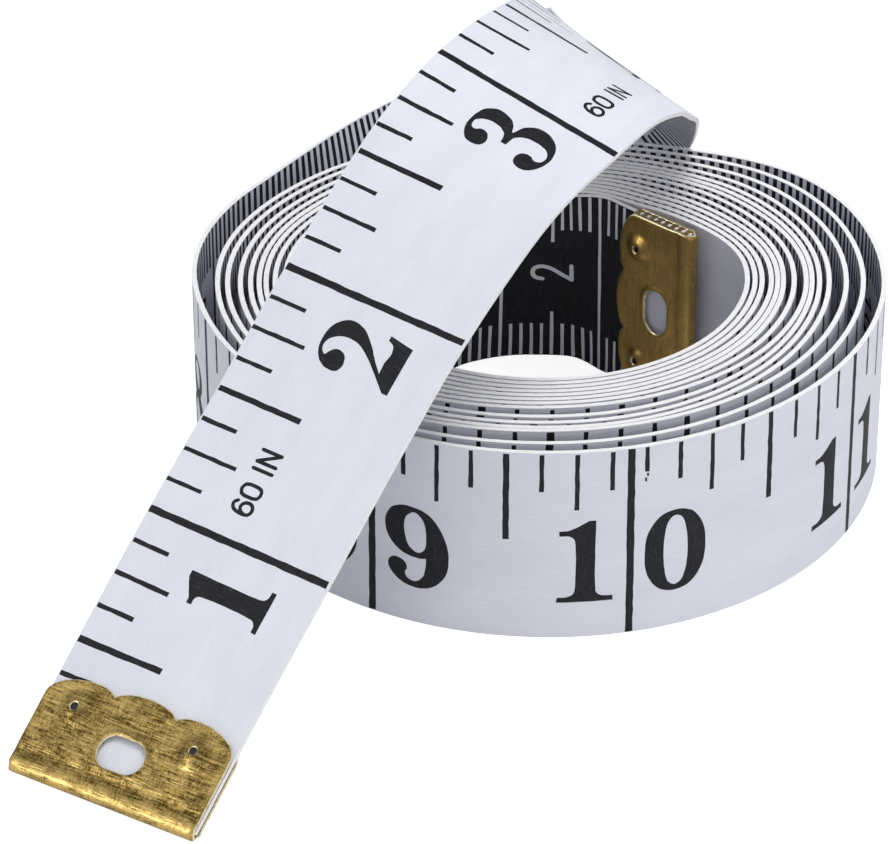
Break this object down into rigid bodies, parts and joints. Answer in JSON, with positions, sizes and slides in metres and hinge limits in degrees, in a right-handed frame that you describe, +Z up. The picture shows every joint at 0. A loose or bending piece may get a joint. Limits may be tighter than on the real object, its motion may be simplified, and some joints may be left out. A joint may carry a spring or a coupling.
{
  "type": "cloth tape measure",
  "caption": "Cloth sewing tape measure loosely coiled on its edge, its free end looped over the coil and down to the table, with a folded brass clip at each end.",
  "frame": {"origin": "on the table, at the middle of the rectangle that the lying tape covers", "axes": "+Z up, across the coiled tape's width; the free end runs towards -X and -Y, and its loop reaches furthest to +Y"},
  "size_m": [0.0788, 0.1052, 0.045],
  "materials": {
    "tape_cloth": "white coated cloth with a fine weave, printed in black with inch marks on one face and metric marks on the other",
    "clip_brass": "worn brushed sheet brass, with pressed dimples and a slot with a raised rim"
  },
  "bodies": {
    "coil": {"tape_coil": "tape_cloth", "tape_inner_end": "tape_cloth", "inner_end_clip": "clip_brass", "tape_loop": "tape_cloth"},
    "free_end": {"tape_free_end": "tape_cloth", "outer_end_clip": "clip_brass"}
  },
  "joints": [
    {"name": "free_end_lift", "type": "hinge", "parent": "coil", "child": "free_end", "pos_m": [0.00561, 0.00411, 0.0415], "axis": [-0.8182, 0.5237, 0.2373], "range_deg": [0, 50]}
  ]
}
